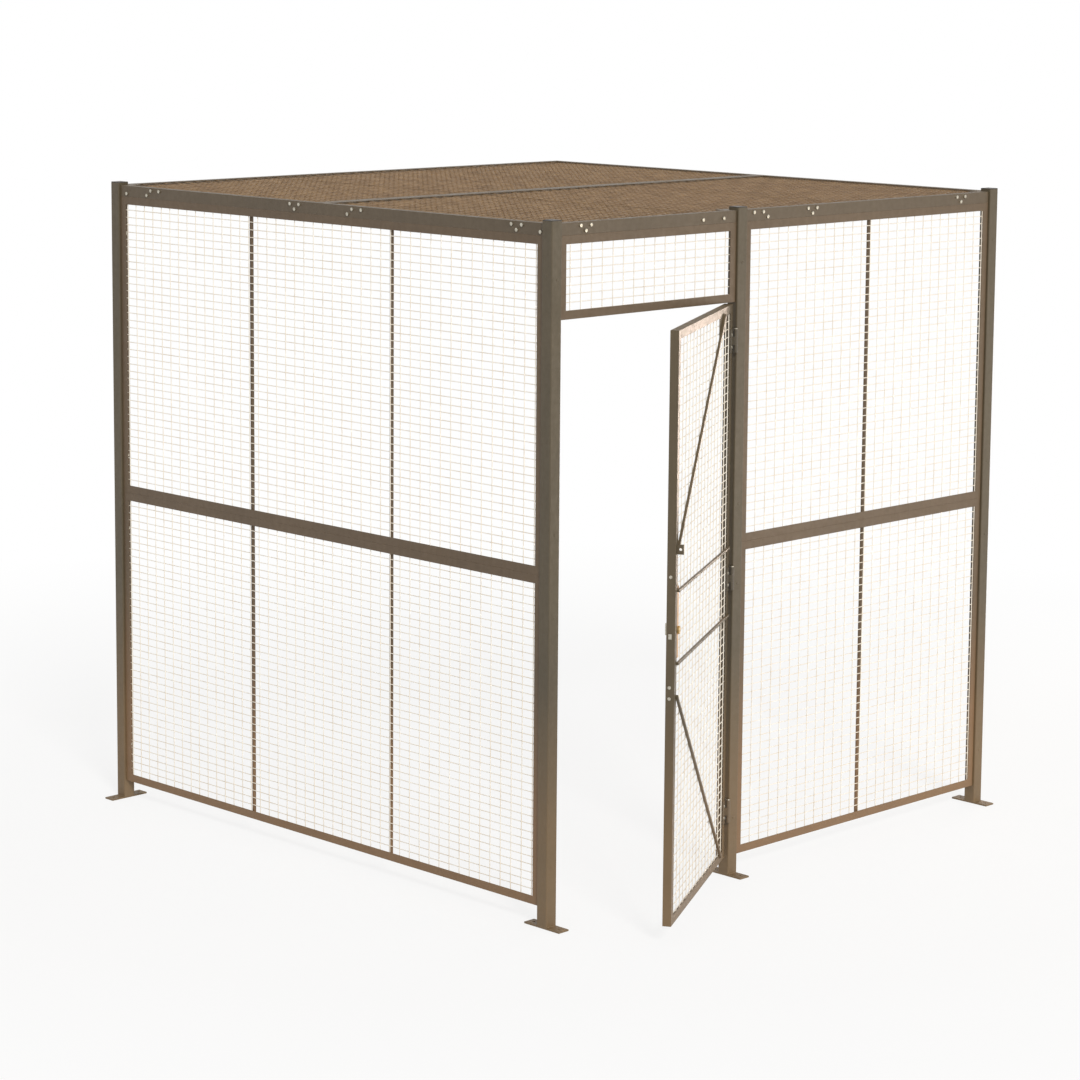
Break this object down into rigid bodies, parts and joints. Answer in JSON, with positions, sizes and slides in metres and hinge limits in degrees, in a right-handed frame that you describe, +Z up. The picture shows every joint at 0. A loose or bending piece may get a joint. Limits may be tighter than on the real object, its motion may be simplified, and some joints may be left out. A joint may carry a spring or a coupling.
{
  "type": "wire mesh partition with door",
  "caption": "Welded-mesh walls and a mesh ceiling on square posts with floor plates, and a hinged mesh door with a lock bolt and a padlock lug.",
  "frame": {"origin": "centreline of the corner post at the underside of its base plate, on the floor", "axes": "+X along the front wall with the door, +Y along the side wall, +Z up; outside is -X and -Y"},
  "size_m": [2.6394, 3.0074, 2.572],
  "materials": {
    "post_paint": "satin taupe enamel, scuffed at the feet",
    "frame_paint": "satin taupe enamel",
    "door_paint": "satin taupe enamel",
    "lock_paint": "satin tan enamel",
    "ceiling_paint": "satin taupe enamel",
    "hinge_paint": "satin taupe enamel",
    "wire_paint": "pale enamel on the mesh wires",
    "ceiling_wire": "tan enamel on the ceiling wires",
    "zinc": "bright zinc plate",
    "brass": "dull brass",
    "cap_plastic": "black moulded plastic",
    "rubber": "black rubber"
  },
  "bodies": {
    "room": {"post_corner": "post_paint", "post_far_left": "post_paint", "post_hinge": "post_paint", "post_right": "post_paint", "base_plate_corner": "post_paint", "base_plate_far_left": "post_paint", "base_plate_hinge": "post_paint", "base_plate_right": "post_paint", "post_caps": "cap_plastic", "post_plugs": "post_paint", "left_lower_frame": "frame_paint", "left_lower_mesh": "wire_paint", "left_lower_stiffeners": "frame_paint", "left_upper_frame": "frame_paint", "left_upper_mesh": "wire_paint", "left_upper_stiffeners": "frame_paint", "front_lower_frame": "frame_paint", "front_lower_mesh": "wire_paint", "front_lower_stiffener": "frame_paint", "front_upper_frame": "frame_paint", "front_upper_mesh": "wire_paint", "front_upper_stiffener": "frame_paint", "transom_frame": "frame_paint", "transom_mesh": "wire_paint", "ceiling_near_frame": "ceiling_paint", "ceiling_near_mesh": "ceiling_wire", "ceiling_near_stiffeners": "ceiling_paint", "ceiling_far_frame": "ceiling_paint", "ceiling_far_mesh": "ceiling_wire", "ceiling_far_stiffeners": "ceiling_paint", "ceiling_clips": "ceiling_paint", "clip_bolts": "zinc", "clip_nuts": "zinc", "clip_foot_bolts": "zinc", "panel_bolts": "zinc", "panel_nuts": "zinc", "rail_bolts": "zinc", "rail_nuts": "zinc", "hinge_post_leaves": "hinge_paint", "hinge_pins": "zinc", "hinge_post_bolts": "zinc", "strike_plate": "zinc", "strike_screws": "zinc", "door_bumper": "rubber"},
    "door": {"door_frame": "door_paint", "door_mesh": "wire_paint", "door_crossbars": "door_paint", "door_upper_brace": "door_paint", "door_lower_brace": "door_paint", "door_gusset": "door_paint", "hinge_door_leaves": "hinge_paint", "hinge_door_bolts": "zinc", "lock_plate": "lock_paint", "lock_case": "zinc", "lock_cylinder": "brass", "lock_stile_bolts": "zinc", "padlock_lug": "door_paint"},
    "turner": {"lock_spindle": "brass", "thumb_turn": "zinc"},
    "bolt": {"lock_bolt": "zinc"}
  },
  "joints": [
    {"name": "door_swing", "type": "hinge", "parent": "room", "child": "door", "pos_m": [0.95, -0.0294, 1.1666], "axis": [0, 0, 1], "range_deg": [-30, 140]},
    {"name": "lock_turn", "type": "hinge", "parent": "door", "child": "turner", "pos_m": [0.18738, -0.43791, 1.1432], "axis": [-0.5, 0.866, 0], "range_deg": [0, 90]},
    {"name": "bolt_slide", "type": "slide", "parent": "door", "child": "bolt", "axis": [-0.866, -0.5, 0], "range_m": [0, 0.019]}
  ],
  "couplings": [
    {"joint": "bolt_slide", "follows": "lock_turn", "m_per_rad": 0.012096}
  ]
}
